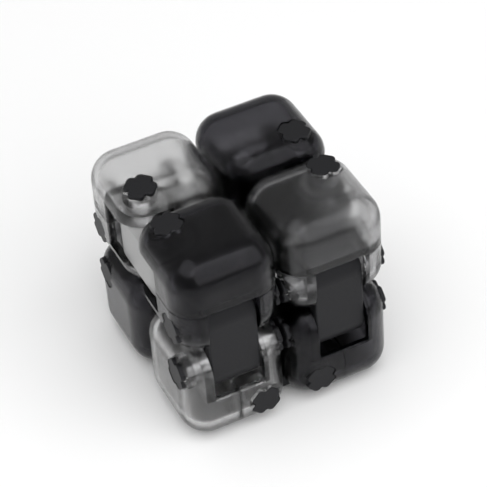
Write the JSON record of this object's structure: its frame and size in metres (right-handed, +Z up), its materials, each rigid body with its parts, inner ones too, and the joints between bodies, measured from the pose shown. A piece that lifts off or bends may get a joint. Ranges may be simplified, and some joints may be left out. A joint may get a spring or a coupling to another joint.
{
  "type": "infinity cube fidget toy",
  "caption": "Fidget toy of small hollow cubes hinged edge to edge in one endless loop, folded into a solid block that turns inside out.",
  "frame": {"origin": "middle of the footprint of the folded block, on the surface it rests on", "axes": "+Z up, +X to the right and -Y to the front, square to the faces of the block"},
  "size_m": [0.0384, 0.0384, 0.0385],
  "materials": {
    "clear_smoke_plastic": "polished translucent light grey",
    "grey_smoke_plastic": "polished translucent mid grey",
    "black_smoke_plastic": "polished translucent black",
    "black_plastic": "fine moulded texture",
    "light_grey_plastic": "smooth moulded, slightly satin",
    "steel": "bright drawn rod"
  },
  "bodies": {
    "top_back_left_cube": {"top_back_left_base_shell": "clear_smoke_plastic", "top_back_left_lid_shell": "clear_smoke_plastic", "top_back_left_axle_left": "steel", "top_back_left_axle_back": "steel", "top_back_left_end_caps": "black_plastic"},
    "top_front_left_cube": {"top_front_left_base_shell": "black_smoke_plastic", "top_front_left_lid_shell": "black_smoke_plastic", "top_front_left_axle_left": "steel", "top_front_left_axle_front": "steel", "top_front_left_end_caps": "black_plastic"},
    "top_back_right_cube": {"top_back_right_base_shell": "black_smoke_plastic", "top_back_right_lid_shell": "black_smoke_plastic", "top_back_right_axle_right": "steel", "top_back_right_axle_back": "steel", "top_back_right_end_caps": "black_plastic"},
    "top_front_right_cube": {"top_front_right_base_shell": "grey_smoke_plastic", "top_front_right_lid_shell": "grey_smoke_plastic", "top_front_right_axle_right": "steel", "top_front_right_axle_front": "steel", "top_front_right_end_caps": "black_plastic"},
    "bottom_back_left_cube": {"bottom_back_left_base_shell": "black_smoke_plastic", "bottom_back_left_lid_shell": "black_smoke_plastic", "bottom_back_left_axle_back": "steel", "bottom_back_left_axle_bottom": "steel", "bottom_back_left_end_caps": "black_plastic"},
    "bottom_front_left_cube": {"bottom_front_left_base_shell": "clear_smoke_plastic", "bottom_front_left_lid_shell": "clear_smoke_plastic", "bottom_front_left_axle_front": "steel", "bottom_front_left_axle_bottom": "steel", "bottom_front_left_end_caps": "black_plastic"},
    "bottom_back_right_cube": {"bottom_back_right_base_shell": "clear_smoke_plastic", "bottom_back_right_lid_shell": "clear_smoke_plastic", "bottom_back_right_axle_back": "steel", "bottom_back_right_axle_bottom": "steel", "bottom_back_right_end_caps": "black_plastic"},
    "bottom_front_right_cube": {"bottom_front_right_base_shell": "black_smoke_plastic", "bottom_front_right_lid_shell": "black_smoke_plastic", "bottom_front_right_axle_front": "steel", "bottom_front_right_axle_bottom": "steel", "bottom_front_right_end_caps": "black_plastic"},
    "front_left_link": {"front_left_link": "black_plastic"},
    "bottom_front_link": {"bottom_front_link": "black_plastic"},
    "front_right_link": {"front_right_link": "black_plastic"},
    "left_side_link": {"left_side_link": "light_grey_plastic"},
    "back_left_link": {"back_left_link": "black_plastic"},
    "bottom_back_link": {"bottom_back_link": "black_plastic"},
    "back_right_link": {"back_right_link": "black_plastic"},
    "right_side_link": {"right_side_link": "light_grey_plastic"}
  },
  "joints": [
    {"name": "front_fold", "type": "hinge", "parent": "top_front_left_cube", "child": "front_left_link", "pos_m": [-0.00975, -0.01425, 0.0245], "axis": [-1, 0, 0], "range_deg": [0, 90]},
    {"name": "bottom_front_left_on_front_left_link", "type": "hinge", "parent": "front_left_link", "child": "bottom_front_left_cube", "pos_m": [-0.00975, -0.01425, 0.014], "axis": [-1, 0, 0], "range_deg": [0, 90]},
    {"name": "bottom_fold", "type": "hinge", "parent": "bottom_front_left_cube", "child": "bottom_front_link", "pos_m": [-0.00525, -0.00975, 0.005], "axis": [0, 1, 0], "range_deg": [0, 90]},
    {"name": "bottom_front_right_on_bottom_front_link", "type": "hinge", "parent": "bottom_front_link", "child": "bottom_front_right_cube", "pos_m": [0.00525, -0.00975, 0.005], "axis": [0, 1, 0], "range_deg": [0, 90]},
    {"name": "front_right_link_on_bottom_front_right", "type": "hinge", "parent": "bottom_front_right_cube", "child": "front_right_link", "pos_m": [0.00975, -0.01425, 0.014], "axis": [1, 0, 0], "range_deg": [0, 90]},
    {"name": "top_front_right_on_front_right_link", "type": "hinge", "parent": "front_right_link", "child": "top_front_right_cube", "pos_m": [0.00975, -0.01425, 0.0245], "axis": [1, 0, 0], "range_deg": [0, 90]},
    {"name": "side_fold", "type": "hinge", "parent": "top_front_left_cube", "child": "left_side_link", "pos_m": [-0.01425, -0.00525, 0.029], "axis": [0, 0, 1], "range_deg": [0, 90]},
    {"name": "top_back_left_on_left_side_link", "type": "hinge", "parent": "left_side_link", "child": "top_back_left_cube", "pos_m": [-0.01425, 0.00525, 0.029], "axis": [0, 0, 1], "range_deg": [0, 90]},
    {"name": "back_fold", "type": "hinge", "parent": "top_back_left_cube", "child": "back_left_link", "pos_m": [-0.00975, 0.01425, 0.0245], "axis": [1, 0, 0], "range_deg": [0, 90]},
    {"name": "bottom_back_left_on_back_left_link", "type": "hinge", "parent": "back_left_link", "child": "bottom_back_left_cube", "pos_m": [-0.00975, 0.01425, 0.014], "axis": [1, 0, 0], "range_deg": [0, 90]},
    {"name": "bottom_back_link_on_bottom_back_left", "type": "hinge", "parent": "bottom_back_left_cube", "child": "bottom_back_link", "pos_m": [-0.00525, 0.00975, 0.005], "axis": [0, 1, 0], "range_deg": [0, 90]},
    {"name": "bottom_back_right_on_bottom_back_link", "type": "hinge", "parent": "bottom_back_link", "child": "bottom_back_right_cube", "pos_m": [0.00525, 0.00975, 0.005], "axis": [0, 1, 0], "range_deg": [0, 90]},
    {"name": "back_right_link_on_bottom_back_right", "type": "hinge", "parent": "bottom_back_right_cube", "child": "back_right_link", "pos_m": [0.00975, 0.01425, 0.014], "axis": [-1, 0, 0], "range_deg": [0, 90]},
    {"name": "top_back_right_on_back_right_link", "type": "hinge", "parent": "back_right_link", "child": "top_back_right_cube", "pos_m": [0.00975, 0.01425, 0.0245], "axis": [-1, 0, 0], "range_deg": [0, 90]},
    {"name": "right_side_link_on_top_front_right", "type": "hinge", "parent": "top_front_right_cube", "child": "right_side_link", "pos_m": [0.01425, -0.00525, 0.029], "axis": [0, 0, -1], "range_deg": [0, 90]}
  ],
  "couplings": [
    {"joint": "bottom_front_left_on_front_left_link", "follows": "front_fold", "ratio": 1},
    {"joint": "bottom_front_right_on_bottom_front_link", "follows": "bottom_fold", "ratio": 1},
    {"joint": "front_right_link_on_bottom_front_right", "follows": "front_fold", "ratio": 1},
    {"joint": "top_front_right_on_front_right_link", "follows": "front_fold", "ratio": 1},
    {"joint": "top_back_left_on_left_side_link", "follows": "side_fold", "ratio": 1},
    {"joint": "bottom_back_left_on_back_left_link", "follows": "back_fold", "ratio": 1},
    {"joint": "bottom_back_link_on_bottom_back_left", "follows": "bottom_fold", "ratio": 1},
    {"joint": "bottom_back_right_on_bottom_back_link", "follows": "bottom_fold", "ratio": 1},
    {"joint": "back_right_link_on_bottom_back_right", "follows": "back_fold", "ratio": 1},
    {"joint": "top_back_right_on_back_right_link", "follows": "back_fold", "ratio": 1},
    {"joint": "right_side_link_on_top_front_right", "follows": "side_fold", "ratio": 1}
  ]
}
